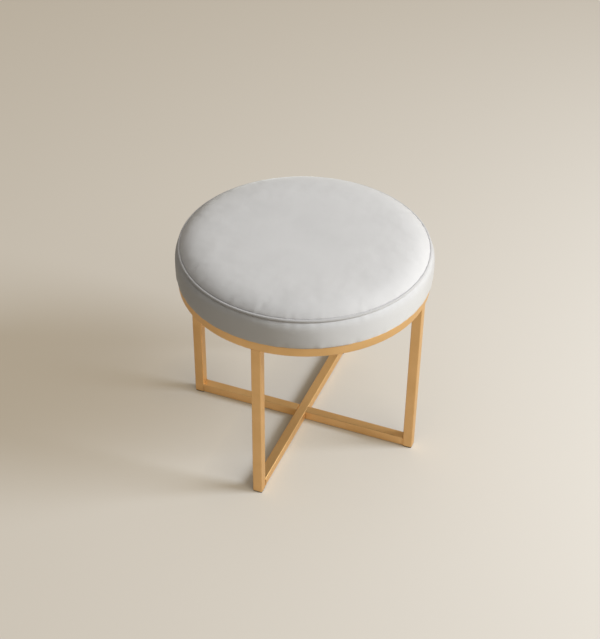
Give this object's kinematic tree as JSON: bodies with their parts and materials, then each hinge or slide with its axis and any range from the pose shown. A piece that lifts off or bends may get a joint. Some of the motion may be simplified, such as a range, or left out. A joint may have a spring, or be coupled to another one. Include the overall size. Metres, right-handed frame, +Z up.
{
  "type": "vanity stool",
  "caption": "Round upholstered stool with a crowned velvet seat on a welded square-tube frame with crossed base bars.",
  "frame": {"origin": "on the floor, under the middle of the seat", "axes": "+Z up; the legs stand on the X and Y axes, the front leg towards -Y and the right leg towards +X"},
  "size_m": [0.5086, 0.5086, 0.4709],
  "materials": {
    "satin_gold": "satin gold coating on steel tube",
    "velvet": "short-pile pale silver-grey velvet",
    "plywood": "raw plywood",
    "foam": "open-cell polyurethane foam",
    "polyester": "loose polyester wadding",
    "black_cloth": "non-woven dust cloth",
    "zinc": "bright zinc plate",
    "dark_plastic": "matte dark plastic"
  },
  "bodies": {
    "root": {"seat_ring": "satin_gold", "leg_front": "satin_gold", "leg_right": "satin_gold", "leg_back": "satin_gold", "leg_left": "satin_gold", "base_bar_through": "satin_gold", "base_bar_right": "satin_gold", "base_bar_left": "satin_gold", "glide_front": "dark_plastic", "glide_right": "dark_plastic", "glide_back": "dark_plastic", "glide_left": "dark_plastic", "mount_tab_1": "satin_gold", "mount_tab_2": "satin_gold", "mount_tab_3": "satin_gold", "mount_tab_4": "satin_gold", "seat_screw_1": "zinc", "seat_screw_2": "zinc", "seat_screw_3": "zinc", "seat_screw_4": "zinc", "t_nut_1": "zinc", "t_nut_2": "zinc", "t_nut_3": "zinc", "t_nut_4": "zinc", "seat_board": "plywood", "dust_cover": "black_cloth", "foam_core": "foam", "wadding": "polyester", "cover_top": "velvet", "cover_band": "velvet", "welt_cord": "velvet"}
  },
  "joints": []
}
